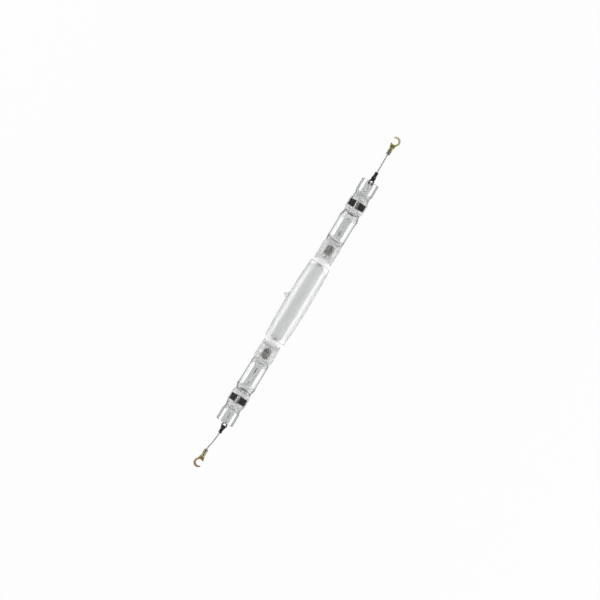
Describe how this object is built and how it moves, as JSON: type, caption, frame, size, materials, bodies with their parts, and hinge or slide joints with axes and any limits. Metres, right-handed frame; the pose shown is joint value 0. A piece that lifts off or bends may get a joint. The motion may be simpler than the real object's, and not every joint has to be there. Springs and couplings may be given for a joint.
{
  "type": "metal halide lamp",
  "caption": "Long double-ended quartz discharge lamp with pressed foil seals, open end sleeves, and a stranded lead with an open hook lug at each end.",
  "frame": {"origin": "middle of the arc tube, on the lamp's axis", "axes": "+X along the lamp's axis towards the end whose ring sits in the sleeve's mouth, +Y along the exhaust tip, +Z square to the flat seals and foils"},
  "size_m": [0.501, 0.0379, 0.0322],
  "materials": {
    "fused_quartz": "clear fused quartz, slightly hazy over the arc tube, mottled on the pressed seals",
    "zirconia_coat": "matt white sintered coat",
    "mercury": "bright liquid metal",
    "tungsten": "dull grey tungsten",
    "grey_molybdenum": "grey molybdenum, heat tinted",
    "black_molybdenum": "near black oxidised foil",
    "bright_strap": "bright folded strap",
    "nickel_rod": "satin rod",
    "blackened_steel": "blackened terminal with a dark maroon end",
    "nickel_strand": "stranded nickel wire",
    "lug_brass": "tarnished brass, olive and gold"
  },
  "bodies": {
    "root": {"quartz_envelope": "fused_quartz", "mercury_bead": "mercury", "end_coat_left": "zirconia_coat", "electrode_rod_left": "tungsten", "electrode_coil_left": "tungsten", "inner_foil_left": "grey_molybdenum", "inner_strap_left": "grey_molybdenum", "inner_lead_left": "nickel_rod", "splice_ferrule_left": "nickel_rod", "link_rod_left": "nickel_rod", "outer_foil_left": "black_molybdenum", "outer_strap_left": "bright_strap", "outer_pin_left": "nickel_rod", "ring_terminal_left": "blackened_steel", "lead_wire_left": "nickel_strand", "hook_lug_left": "lug_brass", "end_coat_right": "zirconia_coat", "electrode_rod_right": "tungsten", "electrode_coil_right": "tungsten", "inner_foil_right": "grey_molybdenum", "inner_strap_right": "grey_molybdenum", "inner_lead_right": "nickel_rod", "splice_ferrule_right": "nickel_rod", "link_rod_right": "nickel_rod", "outer_foil_right": "black_molybdenum", "outer_strap_right": "bright_strap", "outer_pin_right": "nickel_rod", "ring_terminal_right": "blackened_steel", "lead_wire_right": "nickel_strand", "hook_lug_right": "lug_brass"}
  },
  "joints": []
}
